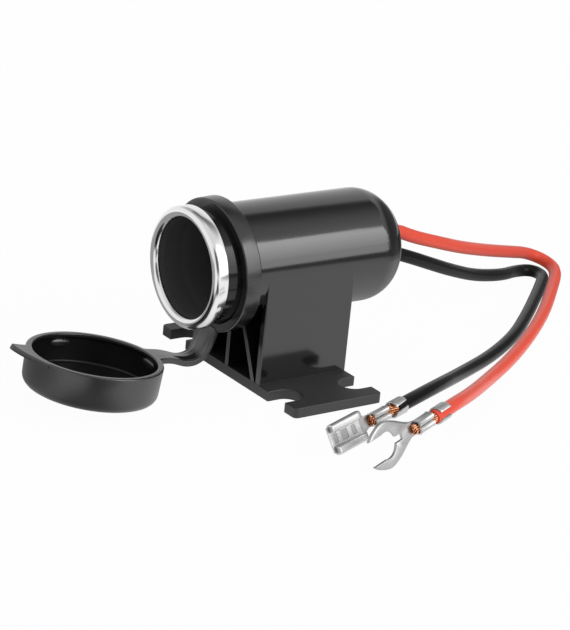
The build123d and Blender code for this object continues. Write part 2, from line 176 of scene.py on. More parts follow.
class SocketLeads(bpy.types.PropertyGroup):
    """Sizes and colours of the two leads."""

    diameter: length_setting("Diameter", "Outside of the jacket", 3.0)
    strand: length_setting("Strand", "Diameter of a bare strand", 0.4)
    red: colour_setting("Red", "Red jacket", (0.88, 0.1, 0.06))
    black: colour_setting("Black", "Black jacket", (0.012, 0.012, 0.012))


class SocketFinish(bpy.types.PropertyGroup):
    """Colours of the housing, metal and rubber."""

    housing: colour_setting("Housing", "Gloss plastic", (0.006, 0.006, 0.006))
    # Lighter than the housing's black: painted light against the shade inside the bore.
    bore: colour_setting("Bore", "Unpolished inside of the tube", (0.072, 0.072, 0.072))
    chrome: colour_setting("Chrome", "Rim ring", (0.86, 0.86, 0.86))
    rubber: colour_setting("Rubber", "Cap, strap and ring", (0.014, 0.014, 0.014))
    brass: colour_setting("Brass", "Contacts in the bore", (0.75, 0.52, 0.22))
    tin: colour_setting("Tin", "Terminals", (0.47, 0.47, 0.47))
    copper: colour_setting("Copper", "Bare strands", (0.72, 0.34, 0.18))


class SocketCap(bpy.types.PropertyGroup):
    """Sizes of the dust cap, its strap and ring, and the rim."""

    outer: length_setting("Outer radius", "Cap's rim", 14.35)
    inner: length_setting("Inner radius", "Inside of the wall", 13.55)
    lip: length_setting("Lip radius", "Bead at the mouth", 13.05)
    depth: length_setting("Depth", "From the mouth to the floor", 6.45)
    floor: length_setting("Floor", "Floor's thickness", 1.4)
    tab: length_setting("Tab", "Reach of the pull tab", 2.3)
    strap: length_setting("Strap", "Strap's thickness", 1.3)
    ring: length_setting("Ring", "Outer radius of the rubber ring", 14.3)
    rim: length_setting("Rim", "Outer radius of the bright rim", 13)


class SocketTerminals(bpy.types.PropertyGroup):
    """Sizes of the two terminals."""

    sheet: length_setting("Sheet", "Receptacle and crimp metal", 0.36)
    fork_sheet: length_setting("Fork sheet", "Fork's metal", 0.7)
    receptacle: length_setting("Receptacle", "Receptacle's width", 6.3)
    eye: length_setting("Eye", "Radius of the fork's eye", 2.8)


class SocketStage(bpy.types.PropertyGroup):
    """Camera and light of the photo stage."""

    azimuth: angle_setting("Azimuth", "Camera's turn from the front", 52.8415)
    elevation: angle_setting("Elevation", "Camera's height angle", 20.379)
    roll: angle_setting("Roll", "Camera's tilt", 5.6434)
    distance: length_setting("Distance", "From the aim point", 488.83)
    aim: FloatVectorProperty(name="Aim", description="Point in the picture's middle", subtype="TRANSLATION",
                             size=3, default=(0.0149, -0.0082, 0.0186))
    lens: FloatProperty(name="Lens", description="Focal length on a 36 mm sensor, in millimetres",
                        default=134.93)
    walls: FloatProperty(name="Walls", description="Brightness of the white walls in reflections",
                         default=0.92)
    ceiling: FloatProperty(name="Ceiling", description="Brightness of the dark ceiling in reflections",
                           default=0.13)
    ceiling_right: FloatProperty(name="Ceiling, right", description="Brightness of its right side",
                                 default=0.75)
    fill: FloatProperty(name="Fill", description="Light from all round", default=0.6)


def new_material(name, base, roughness, metallic=0.0, specular=0.5):
    """A material with one Principled shader, and its node tree's main parts."""
    material = bpy.data.materials.new(name)
    material.use_nodes = True
    nodes = material.node_tree.nodes
    shader = nodes["Principled BSDF"]
    shader.inputs["Base Color"].default_value = (*base, 1.0)
    shader.inputs["Roughness"].default_value = roughness
    shader.inputs["Metallic"].default_value = metallic
    shader.inputs["Specular IOR Level"].default_value = specular
    return material, nodes, material.node_tree.links, shader


def add_noise(nodes, links, scale, detail=3.0, stretch=None):
    """Noise on the object's own coordinates, stretched where a grain has a direction."""
    coordinates = nodes.new("ShaderNodeTexCoord")
    noise = nodes.new("ShaderNodeTexNoise")
    noise.inputs["Scale"].default_value = scale
    noise.inputs["Detail"].default_value = detail
    source = coordinates.outputs["Object"]
    if stretch:
        mapping = nodes.new("ShaderNodeMapping")
        mapping.inputs["Rotation"].default_value = stretch[0]
        mapping.inputs["Scale"].default_value = stretch[1]
        links.new(source, mapping.inputs["Vector"])
        source = mapping.outputs["Vector"]
    links.new(source, noise.inputs["Vector"])
    return noise


def compute(nodes, links, operation, *values):
    """The result of one calculation on sockets and numbers."""
    node = nodes.new("ShaderNodeMath")
    node.operation = operation
    for socket, value in zip(node.inputs, values):
        if isinstance(value, bpy.types.NodeSocket):
            links.new(value, socket)
        else:
            socket.default_value = value
    return node.outputs[0]


def compare(nodes, links, operation, vector, other=(0, 0, 0)):
    """One number from a vector, such as its length, or its distance from another or product with it."""
    node = nodes.new("ShaderNodeVectorMath")
    node.operation = operation
    node.inputs[1].default_value = other
    links.new(vector, node.inputs[0])
    return node.outputs["Value"]


def ramp(nodes, links, value, span, low, high, smooth=False):
    """A value's place in a span, mapped from a low to a high result."""
    node = nodes.new("ShaderNodeMapRange")
    node.interpolation_type = "SMOOTHSTEP" if smooth else "LINEAR"
    node.inputs["From Min"].default_value, node.inputs["From Max"].default_value = span
    for socket, result in ((node.inputs["To Min"], low), (node.inputs["To Max"], high)):
        if isinstance(result, bpy.types.NodeSocket):
            links.new(result, socket)
        else:
            socket.default_value = result
    links.new(value, node.inputs["Value"])
    return node.outputs["Result"]


def vary(nodes, links, value, target, low, high):
    """Feeds a socket from a 0 to 1 value, mapped to a narrow range."""
    links.new(ramp(nodes, links, value, (0, 1), low, high), target)


def fade(nodes, links, value, span, low, high=1.0):
    """A soft step from one brightness to another."""
    return ramp(nodes, links, value, span, low, high, smooth=True)


def split(nodes, links, vector):
    """The three parts of a vector."""
    parts = nodes.new("ShaderNodeSeparateXYZ")
    links.new(vector, parts.inputs[0])
    return parts.outputs


def shades(colour, *factors):
    """Darker or lighter versions of a colour."""
    return [[min(1.0, part * factor) for part in colour] for factor in factors]


def tint(nodes, links, value, shader, dark, light):
    """Runs the base colour between two shades of a finish."""
    mix = nodes.new("ShaderNodeMix")
    mix.data_type = "RGBA"
    mix.inputs[6].default_value = (*dark, 1.0)
    mix.inputs[7].default_value = (*light, 1.0)
    links.new(value, mix.inputs[0])
    links.new(mix.outputs[2], shader.inputs["Base Color"])


def add_bump(nodes, links, value, shader, distance):
    """Fine relief from a value."""
    bump = nodes.new("ShaderNodeBump")
    bump.inputs["Strength"].default_value = 1.0
    bump.inputs["Distance"].default_value = distance
    links.new(value, bump.inputs["Height"])
    links.new(bump.outputs["Normal"], shader.inputs["Normal"])


def speckled(name, base, low, high, scale, relief, metallic=0.0, specular=0.5, spread=0.12):
    """A finish whose gloss and shade vary a little, with a fine relief."""
    material, nodes, links, shader = new_material(name, base, (low + high) / 2, metallic, specular)
    noise = add_noise(nodes, links, scale)
    vary(nodes, links, noise.outputs["Fac"], shader.inputs["Roughness"], low, high)
    tint(nodes, links, noise.outputs["Fac"], shader, *shades(base, 1 - spread, 1 + spread))
    if relief:
        add_bump(nodes, links, noise.outputs["Fac"], shader, relief)
    return material


def finish_node(node, material):
    """Puts a finish on a CAD node's object."""
    slots = frame["nodes"][node].data.materials
    slots.clear()
    slots.append(material)


def link_object(name, data):
    """Adds an object to the scene at the origin."""
    piece = bpy.data.objects.new(name, data)
    bpy.context.scene.collection.objects.link(piece)
    return piece


def wire(shape, points):
    """A chain of edges through a few points."""
    corners = [shape.verts.new(point) for point in points]
    for pair in zip(corners, corners[1:]):
        shape.edges.new(pair)
    return corners


def round_corner(shape, corner, radius, segments=5):
    """Rounds one corner of a chain."""
    bmesh.ops.bevel(shape, geom=[corner], offset=radius, offset_type="OFFSET", segments=segments,
                    profile=0.5, affect="VERTICES", material=-1)


def spin_round(shape, steps=96):
    """Turns a section once round the Y axis into a closed shape."""
    bmesh.ops.spin(shape, geom=shape.verts[:] + shape.edges[:], cent=(0, 0, 0), axis=(0, 1, 0),
                   dvec=(0, 0, 0), angle=2 * pi, steps=steps, use_merge=True, use_duplicate=False)


def sweep_vertex(shape, vertex, centre, angle, steps, axis=(1, 0, 0)):
    """Draws an arc from a vertex, across the part unless told otherwise, and returns the arc's end."""
    made = bmesh.ops.spin(shape, geom=[vertex], cent=centre, axis=axis, dvec=(0, 0, 0), angle=angle,
                          steps=steps, use_merge=False, use_duplicate=False)
    return next(item for item in made["geom_last"] if isinstance(item, bmesh.types.BMVert))


def pull(shape, edges, offset):
    """Extrudes edges by an offset, and returns the new row's vertices and edges."""
    made = bmesh.ops.extrude_edge_only(shape, edges=edges)["geom"]
    corners = [item for item in made if isinstance(item, bmesh.types.BMVert)]
    row = [item for item in made if isinstance(item, bmesh.types.BMEdge)]
    bmesh.ops.translate(shape, vec=offset, verts=corners)
    return corners, row


def thicken(shape, wall, outward=(0, 0, -1)):
    """Gives an open sheet its wall on the inner side."""
    outward = Vector(outward)
    bmesh.ops.remove_doubles(shape, verts=shape.verts[:], dist=0.001)
    bmesh.ops.recalc_face_normals(shape, faces=shape.faces[:])
    farthest = max(shape.faces, key=lambda face: face.calc_center_median().dot(outward))
    if farthest.normal.dot(outward) < 0:
        bmesh.ops.reverse_faces(shape, faces=shape.faces[:])
    bmesh.ops.solidify(shape, geom=shape.faces[:], thickness=wall)


def soften(shape, offset, segments, sharp=50, chosen=None):
    """Bevels the sharp edges of a closed shape."""
    shape.normal_update()
    edges = [edge for edge in shape.edges if edge.is_manifold and edge.calc_face_angle() > radians(sharp)
             and (chosen is None or chosen(edge))]
    bmesh.ops.bevel(shape, geom=edges, offset=offset, offset_type="OFFSET", segments=segments, profile=0.5,
                    affect="EDGES", clamp_overlap=True, material=-1)


def give_second_material(faces):
    """Gives faces the piece's second material."""
    for face in faces:
        face.material_index = 1


def absorb(shape, part):
    """Adds a finished part to a shape."""
    mesh = bpy.data.meshes.new("part")
    part.to_mesh(mesh)
    part.free()
    shape.from_mesh(mesh)
    bpy.data.meshes.remove(mesh)


def make_piece(name, shape, material, place=None, smooth=40):
    """Turns a shape in millimetres into a finished object at the origin."""
    bmesh.ops.remove_doubles(shape, verts=shape.verts[:], dist=0.001)
    bmesh.ops.recalc_face_normals(shape, faces=shape.faces[:])
    scale = Matrix.Scale(MM, 4)
    bmesh.ops.transform(shape, matrix=scale @ place if place else scale, verts=shape.verts[:])
    mesh = bpy.data.meshes.new(name)
    shape.to_mesh(mesh)
    shape.free()
    mesh.materials.append(material)
    mesh.shade_smooth()
    mesh.set_sharp_from_angle(angle=radians(smooth))
    return link_object(name, mesh)


def settle(piece):
    """Applies a piece's modifiers to its mesh."""
    depsgraph = bpy.context.evaluated_depsgraph_get()
    mesh = bpy.data.meshes.new_from_object(piece.evaluated_get(depsgraph))
    piece.modifiers.clear()
    piece.data = mesh


def terminal_place(terminal):
    """The matrix of a terminal's own frame."""
    origin, axis, face = (Vector(part) for part in terminal)
    axis.normalize()
    face = (face - axis * face.dot(axis)).normalized()
    turn = Matrix((axis, face.cross(axis), face)).transposed()
    return Matrix.Translation(origin) @ turn.to_4x4()


def make_lead(name, route, diameter, material):
    """A jacketed lead as a smooth curve along its route."""
    curve = bpy.data.curves.new(name, "CURVE")
    curve.dimensions = "3D"
    curve.bevel_depth = diameter / 2
    curve.bevel_resolution = 6
    curve.resolution_u = 16
    curve.use_fill_caps = True
    spline = curve.splines.new("NURBS")
    spline.points.add(len(route) - 1)
    for point, place in zip(spline.points, route):
        point.co = (*(Vector(place) * MM), 1.0)
    spline.order_u = 3
    spline.use_endpoint_u = True
    curve.materials.append(material)
    return link_object(name, curve)


def between(stations, place):
    """Values on straight lines between stations along a part."""
    for (first, low), (last, high) in zip(stations, stations[1:]):
        if place <= last:
            share = max(0.0, (place - first) / (last - first))
            return [a + (b - a) * share for a, b in zip(low, high)]
    return stations[-1][1]


def strand(shape, start, end, radius, offset, spread):
    """One bare strand of a bundle: a rounded rod that twists and follows the bundle's spread."""
    part = bmesh.new()
    place = Matrix.Translation(((start + end) / 2, 0, 0)) @ Matrix.Rotation(pi / 2, 4, "Y")
    bmesh.ops.create_cone(part, cap_ends=True, segments=10, radius1=radius, radius2=radius,
                          depth=end - start, matrix=place)
    caps = [edge for edge in part.edges if abs(edge.verts[0].co.x - edge.verts[1].co.x) < 0.001]
    bmesh.ops.bevel(part, geom=caps, offset=radius * 0.6, offset_type="OFFSET", segments=2, profile=0.5,
                    affect="EDGES", material=-1)
    runs = [edge for edge in part.edges if abs(edge.verts[0].co.x - edge.verts[1].co.x) > 1]
    bmesh.ops.subdivide_edges(part, edges=runs, cuts=12)
    lay = 0.22
    for vertex in part.verts:
        wide, high, rise = between(spread, vertex.co.x)
        turn = lay * vertex.co.x
        across = offset[0] * cos(turn) - offset[1] * sin(turn)
        up = offset[0] * sin(turn) + offset[1] * cos(turn)
        vertex.co.y += across * wide
        vertex.co.z += rise + up * high
    absorb(shape, part)


def strand_bundle(shape, radius, spread):
    """Nineteen strands along the stations of a spread, with uneven ends."""
    start, end = spread[0][0], spread[-1][0]
    for ring, count in ((0, 1), (2 * radius, 6), (4 * radius, 12)):
        for index in range(count):
            turn = 2 * pi * index / count + ring
            ragged = 0.22 * sin(5 * index + 9 * ring)
            strand(shape, start + ragged, end, radius, (ring * cos(turn), ring * sin(turn)), spread)


def crimp_barrel(shape, wall, start, end, half, top):
    """A folded wire crimp: two lobes that meet at a seam over a rounded floor, belled at both ends."""
    part = bmesh.new()
    seam, foot, tuck = 0.015, 0.6, 0.25
    bell, bell_run = 1.06, 0.35
    lobe = (half - seam) / 2
    for side in (-1, 1):
        inner = part.verts.new((start, side * seam, top - lobe - tuck))
        shoulder = part.verts.new((start, side * seam, top - lobe))
        part.edges.new((inner, shoulder))
        outer = sweep_vertex(part, shoulder, (start, side * (seam + lobe), top - lobe), -side * pi, 9)
        knee = part.verts.new((start, side * half, foot))
        part.edges.new((outer, knee))
        heel = sweep_vertex(part, knee, (start, side * (half - foot), foot), -side * pi / 2, 5)
        part.edges.new((heel, part.verts.new((start, 0, 0))))
    bmesh.ops.remove_doubles(part, verts=part.verts[:], dist=0.001)
    middle = Matrix.Translation((0, 0, top / 2))
    flare = middle @ Matrix.Diagonal((1, bell, bell, 1)) @ middle.inverted()
    bmesh.ops.transform(part, matrix=flare, verts=part.verts[:])
    corners, row = pull(part, part.edges[:], (bell_run, 0, 0))
    bmesh.ops.transform(part, matrix=flare.inverted(), verts=corners)
    straight = (end - start) / 2 - bell_run
    for run in (straight, straight, bell_run):
        corners, row = pull(part, row, (run, 0, 0))
    bmesh.ops.transform(part, matrix=flare, verts=corners)
    thicken(part, wall)
    absorb(shape, part)


def crimp_claws(shape, wall, start, end, radius, reach, slants, twist):
    """Two claws that grip the jacket, with their tips apart."""
    part = bmesh.new()
    bottom = part.verts.new((start, 0, WIRE_HEIGHT - radius))
    for side in (-1, 1):
        sweep_vertex(part, bottom, (start, 0, WIRE_HEIGHT), side * radians(reach), 16)
    row = part.edges[:]
    rows = 6
    for _ in range(rows):
        row = pull(part, row, ((end - start) / rows, 0, 0))[1]
    for vertex in part.verts:
        turn = atan2(vertex.co.y, WIRE_HEIGHT - vertex.co.z)
        lean = twist * ((vertex.co.x - start) / (end - start) - 0.5)
        share = abs(turn) / pi
        turn += lean * share
        vertex.co.y = radius * sin(turn)
        vertex.co.z = WIRE_HEIGHT - radius * cos(turn)
        vertex.co.x += slants[turn > 0] * share ** 2
    thicken(part, wall)
    soften(part, 0.08, 2, 60)
    absorb(shape, part)


def crimp_strip(shape, wall, start, end, half):
    """The flat floor that joins a terminal's crimps."""
    part = bmesh.new()
    bmesh.ops.create_grid(part, x_segments=1, y_segments=1, size=0.5)
    bmesh.ops.scale(part, vec=(end - start, 2 * half, 1), verts=part.verts[:])
    bmesh.ops.translate(part, vec=((start + end) / 2, 0, 0), verts=part.verts[:])
    thicken(part, wall)
    absorb(shape, part)


def crimp_on(shape, wall, stations):
    """A terminal's wire barrel, floor strip and jacket claws."""
    barrel, strip, claws = stations
    crimp_barrel(shape, wall, *barrel)
    crimp_strip(shape, wall, *strip)
    crimp_claws(shape, wall, *claws)


def painted_shade_bar(shape, centre, size):
    """A small bar of painted shade that fills a fold."""
    part = bmesh.new()
    bmesh.ops.create_cube(part, size=1.0, matrix=Matrix.Translation(centre) @ Matrix.Diagonal((*size, 1)))
    soften(part, 0.06, 2)
    give_second_material(part.faces)
    absorb(shape, part)


class SOCKET_OT_leads(bpy.types.Operator):
    """Lay the red and the black lead"""

    bl_idname = "socket.leads"
    bl_label = "Leads"

    def execute(self, context):
        sizes = context.scene.socket_leads
        red = speckled("jacket_red", sizes.red, 0.26, 0.36, 900, 0.000004, specular=0.2, spread=0.06)
        black = speckled("jacket_black", sizes.black, 0.2, 0.28, 900, 0.000004, specular=0.1)
        red_lead = make_lead("red_lead", RED_ROUTE, sizes.diameter, red)
        black_lead = make_lead("black_lead", BLACK_ROUTE, sizes.diameter, black)
        leads = ((red_lead, "red_wire", "red_jacket"), (black_lead, "black_wire", "black_jacket"))
        for lead, node, slot in leads:
            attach(lead, SOCKET)
            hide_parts(node)
        return {"FINISHED"}


class SOCKET_OT_strands(bpy.types.Operator):
    """Fan out the bare copper strands at both ends of each lead"""

    bl_idname = "socket.strands"
    bl_label = "Bare strands"

    def execute(self, context):
        radius = context.scene.socket_leads.strand / MM / 2
        copper = speckled("bare_copper", context.scene.socket_finish.copper, 0.16, 0.32, 1500, 0,
                          metallic=1.0, spread=0.25)
        ends = (("red_strands", "red_conductor", FORK_FRAME, RED_SPREAD, RED_ROUTE),
                ("black_strands", "black_conductor", RECEPTACLE_FRAME, BLACK_SPREAD, BLACK_ROUTE))
        for name, node, terminal, spread, route in ends:
            shape = bmesh.new()
            strand_bundle(shape, radius, spread)
            bmesh.ops.transform(shape, matrix=terminal_place(terminal), verts=shape.verts[:])
            stub = bmesh.new()
            strand_bundle(stub, radius, STUB_SPREAD)
            inside = Matrix.Translation((0, STUB_FRONT, route[0][2])) @ Matrix.Rotation(pi / 2, 4, "Z")
            bmesh.ops.transform(stub, matrix=inside, verts=stub.verts[:])
            absorb(shape, stub)
            piece = make_piece(name, shape, copper)
            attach(piece, SOCKET)
            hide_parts(node)
        return {"FINISHED"}


class SOCKET_OT_receptacle(bpy.types.Operator):
    """Roll the female blade receptacle with its neck, crimp and claws"""

    bl_idname = "socket.receptacle"
    bl_label = "Receptacle"

    def execute(self, context):
        sizes = context.scene.socket_terminals
        wall = sizes.sheet / MM
        half = sizes.receptacle / MM / 2
        shape = bmesh.new()
        absorb(shape, self.body(wall, half))
        # Bars of painted shade fill the curls' open fronts.
        for side in (-1, 1):
            painted_shade_bar(shape, (0.95, side * (half - CURL_WIDTH / 2), CURL_HEIGHT / 2),
                        (0.9, CURL_WIDTH - wall, CURL_HEIGHT - wall))
        crimp_on(shape, wall, RECEPTACLE_CRIMPS)
        # A lighter copy of tin for the sheet and crimps is painted light; a darker copy for pockets, neck
        # and bars is painted shade.
        bright, shade = shades(context.scene.socket_finish.tin, 1.3, 0.85)
        piece = make_piece("receptacle", shape, tinned("tin_painted_light", bright),
                           terminal_place(RECEPTACLE_FRAME))
        piece.data.materials.append(speckled("tin_painted_shade", shade, 0.4, 0.55, 600, 0, metallic=1.0))
        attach(piece, SOCKET)
        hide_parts("receptacle_terminal")
        return {"FINISHED"}

    def body(self, wall, half):
        """The sheet with its sides curled over, pockets in its floor and its rear drawn into a neck."""
        tuck, bend, hem = 0.8, 0.5, 0.25
        front, rear, strip = 0.4, 8.6, 1.2
        windows = ((0.7, 2.2, -0.1), (2.9, 5.2, -0.14), (5.9, 7.6, -0.14))
        body = bmesh.new()
        right = [(strip, 0), (half, 0), (half, CURL_HEIGHT), (half - CURL_WIDTH, CURL_HEIGHT),
                 (half - CURL_WIDTH, CURL_HEIGHT - tuck)]
        left = [(-across, up) for across, up in reversed(right)]
        section = wire(body, [(front, across, up) for across, up in left + right])
        for corner, radius in zip(section, (0, hem, bend, bend, 0, 0, bend, bend, hem, 0)):
            if radius:
                round_corner(body, corner, radius)
        row = body.edges[:]
        floor_edges = [edge for edge in row if all(corner.co.z < 0.001 for corner in edge.verts)]
        pull(body, floor_edges, (-front, 0, 0))
        here = front
        for station in (*(place for window in windows for place in window[:2]), rear):
            row = pull(body, row, (station - here, 0, 0))[1]
            here = station
        self.press_pockets(body, windows)
        row = [edge for edge in row if all(corner.co.z < 0.01 for corner in edge.verts)]
        self.draw_neck(body, row, rear, half - bend)
        # Painted shade: the neck gets the darker tin.
        give_second_material(face for face in body.faces if face.calc_center_median().x > rear)
        thicken(body, wall)
        soften(body, 0.05, 2, 60)
        return body

    def press_pockets(self, body, windows):
        """Presses pockets into the floor, each from a low to a high station with its dip, in the darker tin
        of painted shade.
        """
        body.normal_update()
        for low, high, dip in windows:
            pocket = [face for face in body.faces if low < face.calc_center_median().x < high
                      and abs(face.calc_center_median().y) < 1 and face.calc_center_median().z < 0.1]
            bmesh.ops.inset_individual(body, faces=pocket, thickness=0.12)
            deep = [corner for face in pocket for corner in face.verts]
            bmesh.ops.translate(body, vec=(0, 0, dip), verts=deep)
            give_second_material(pocket)

    def draw_neck(self, body, row, here, width):
        """Narrows the floor towards the crimps and lifts its edges, by station, half width and rise."""
        neck = ((8.75, 2.95, 0), (9.1, 2.5, 0), (9.6, 1.95, 0), (10.2, 1.55, 0.08), (10.8, 1.35, 0.2),
                (11.8, 1.25, 0.4))
        for station, narrow, rise in neck:
            corners, row = pull(body, row, (station - here, 0, 0))
            bmesh.ops.scale(body, vec=(1, narrow / width, 1), verts=corners)
            for corner in corners:
                corner.co.z = rise if abs(corner.co.y) > narrow * 0.9 else 0
            width, here = narrow, station


def tinned(name, colour):
    """Brushed tin."""
    material, nodes, links, shader = new_material(name, colour, 0.38, 1.0)
    grain = add_noise(nodes, links, 500, 4.0, ((0, 0, radians(13)), (3.0, 0.35, 3.0)))
    vary(nodes, links, grain.outputs["Fac"], shader.inputs["Roughness"], 0.34, 0.46)
    tint(nodes, links, grain.outputs["Fac"], shader, *shades(colour, 0.92, 1.06))
    add_bump(nodes, links, grain.outputs["Fac"], shader, 0.000002)
    return material


class SOCKET_OT_fork(bpy.types.Operator):
    """Stamp the fork terminal with its notched eye, crimp and claws"""

    bl_idname = "socket.fork"
    bl_label = "Fork"

    def execute(self, context):
        sizes = context.scene.socket_terminals
        shape = bmesh.new()
        absorb(shape, self.plate(sizes.fork_sheet / MM, sizes.eye / MM))
        crimps = bmesh.new()
        crimp_on(crimps, sizes.sheet / MM, FORK_CRIMPS)
        # Painted light: the crimps get the lighter copy of tin.
        give_second_material(crimps.faces)
        absorb(shape, crimps)
        piece = make_piece("fork", shape, tinned("fork_tin", context.scene.socket_finish.tin),
                           terminal_place(FORK_FRAME))
        piece.data.materials.append(bpy.data.materials["tin_painted_light"])
        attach(piece, SOCKET)
        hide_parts("fork_terminal")
        return {"FINISHED"}

    def plate(self, sheet, eye):
        """The flat fork, open at its tip, with a notch behind the eye and a coined outline."""
        tip, slot, centre = -0.5, 2.65, 4.25
        notch, notch_end, neck_end = 0.7, 8.85, 13.2
        plate = bmesh.new()
        outside = [(tip, slot), (0.2, 3.27), (1.0, 3.84), (1.85, 4.25), (2.7, 4.62), (3.6, 4.88),
                   (4.5, 4.97), (5.4, 4.84), (6.4, 4.5), (7.4, 4.07), (8.4, 3.56), (9.3, 3.0),
                   (10.2, 2.46), (11, 2.05), (11.8, 1.68), (12.5, 1.45), (neck_end, 1.3)]
        wire(plate, [(along, across, 0) for along, across in outside])
        outer_edges = plate.edges[:]
        mouth = centre - sqrt(eye ** 2 - slot ** 2)
        first = atan2(slot, mouth - centre)
        last = atan2(notch, sqrt(eye ** 2 - notch ** 2))
        inner = wire(plate, [(tip, slot, 0), (1.4, slot, 0), (mouth, slot, 0)])
        corner = sweep_vertex(plate, inner[-1], (centre, 0, 0), last - first, 9, (0, 0, 1))
        tail = wire(plate, [(notch_end - 0.9, notch, 0), (notch_end, notch, 0), (notch_end, 0, 0),
                            (11, 0, 0), (neck_end, 0, 0)])
        plate.edges.new((corner, tail[0]))
        inner_edges = [edge for edge in plate.edges if edge not in outer_edges]
        bmesh.ops.bridge_loops(plate, edges=outer_edges + inner_edges)
        bmesh.ops.remove_doubles(plate, verts=plate.verts[:], dist=0.001)
        bmesh.ops.mirror(plate, geom=plate.verts[:] + plate.edges[:] + plate.faces[:], axis="Y",
                         merge_dist=0.001)
        thicken(plate, sheet)

        def coined(edge):
            """Whether an edge lies on the upper outline, away from the eye, the mouth and the neck."""
            place = (edge.verts[0].co + edge.verts[1].co) / 2
            in_eye = hypot(place.x - centre, place.y) < eye + 0.1
            in_mouth = place.x < mouth and abs(place.y) < slot + 0.05
            return place.z > sheet / 2 and place.x < 12 and abs(place.y) > 1 and not (in_eye or in_mouth)

        soften(plate, 0.55, 4, 50, coined)
        soften(plate, 0.07, 2, 70)
        return plate


class SOCKET_OT_dust_cap(bpy.types.Operator):
    """Mould the dust cap with its lip, snap nubs and pull tab"""

    bl_idname = "socket.dust_cap"
    bl_label = "Dust cap"

    def execute(self, context):
        sizes = context.scene.socket_cap
        outer, inner, lip = sizes.outer / MM, sizes.inner / MM, sizes.lip / MM
        depth, floor, reach = sizes.depth / MM, sizes.floor / MM, sizes.tab / MM
        bead, groove, draft = 0.75, 1.2, 0.25
        nubs = ((-2.3, 1.0), (-2.3, 1.0), (-2.3, 1.0), (-1.95, 0.7))
        shape = bmesh.new()
        outline = wire(shape, [(0, -depth - floor, 0), (outer - draft, -depth - floor, 0), (outer, 0, 0),
                               (lip, 0, 0), (lip, -bead, 0), (inner, -groove, 0), (inner - 0.1, -depth, 0),
                               (0, -depth, 0)])
        for corner, radius in zip(outline[1:-1], (2.0, 0.3, 0.3, 0.2, 0.2, 0.5)):
            round_corner(shape, corner, radius)
        spin_round(shape)
        # Painted shade: the inside wall and floor get a darker, duller copy of the rubber.
        for face in shape.faces:
            middle = face.calc_center_median()
            if hypot(middle.x, middle.z) < inner + 0.02 and -depth - 0.01 < middle.y < -0.8:
                give_second_material([face])
        for quarter, (down, tall) in enumerate(nubs):
            place = (Matrix.Rotation(quarter * pi / 2, 4, "Y") @ Matrix.Translation((inner, down, 0))
                     @ Matrix.Diagonal((0.5, tall, 2.6, 1)))
            bmesh.ops.create_uvsphere(shape, u_segments=20, v_segments=14, radius=1.0, matrix=place)
        absorb(shape, self.pull_tab(outer, reach))
        piece = make_piece("cap", shape, rubber(context), CAP_PLACE)
        # A darker copy of the rubber, for the painted shade inside the cap.
        inside, = shades(context.scene.socket_finish.rubber, 0.5)
        piece.data.materials.append(speckled("cap_inside_painted_shade", inside, 0.3, 0.4, 300, 0, specular=0.35))
        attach(piece, CAP)
        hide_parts("dust_cap")
        return {"FINISHED"}

    def pull_tab(self, outer, reach):
        """A slanted tab on the rim, curled up a little at its edge."""
        tab = bmesh.new()
        left, width, root, corner, curl, thickness = -6.8, 11.2, 0.5, 0.5, 0.175, 1.1
        bmesh.ops.create_grid(tab, x_segments=14, y_segments=6, size=0.5)
        for vertex in tab.verts:
            along, out = vertex.co.x + 0.5, vertex.co.y + 0.5
            across = left + width * along
            rim = sqrt((outer - root) ** 2 - across ** 2)
            edge = outer + reach - (reach + root) * along
            if along == 0:
                across += corner * out ** 3
            edge -= corner * max(0, 1 - along / 0.12) ** 2
            vertex.co = (across, curl * max(0, out * (edge - rim) / reach) ** 2, rim + (edge - rim) * out)
        thicken(tab, thickness, (0, 1, 0))
        soften(tab, 0.3, 3, 50)
        return tab


def rubber(context):
    """The soft black of cap, strap and ring, made once."""
    material = bpy.data.materials.get("soft_rubber")
    if material:
        return material
    return speckled("soft_rubber", context.scene.socket_finish.rubber, 0.24, 0.34, 1400, 0.000006,
                    specular=1.0, spread=0.2)


class SOCKET_OT_ring(bpy.types.Operator):
    """Stretch the rubber ring round the tube"""

    bl_idname = "socket.ring"
    bl_label = "Rubber ring"

    def execute(self, context):
        outer = context.scene.socket_cap.ring / MM
        inner = 12.5
        half = (RING_REAR - RING_FRONT) / 2
        shape = bmesh.new()
        section = wire(shape, [(inner, -half, 0), (outer, -half, 0), (outer, half, 0), (inner, half, 0)])
        shape.edges.new((section[-1], section[0]))
        for corner in section[1:3]:
            round_corner(shape, corner, 0.3)
        spin_round(shape)
        place = (Matrix.Translation((0, (RING_FRONT + RING_REAR) / 2, AXIS_HEIGHT - RING_SAG))
                 @ Matrix.Rotation(RING_LEAN, 4, "X"))
        gloss = speckled("ring_rubber", context.scene.socket_finish.rubber, 0.2, 0.27, 500, 0.000004,
                         specular=0.8)
        piece = make_piece("ring", shape, gloss, place)
        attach(piece, SOCKET)
        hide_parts("cap_ring")
        return {"FINISHED"}


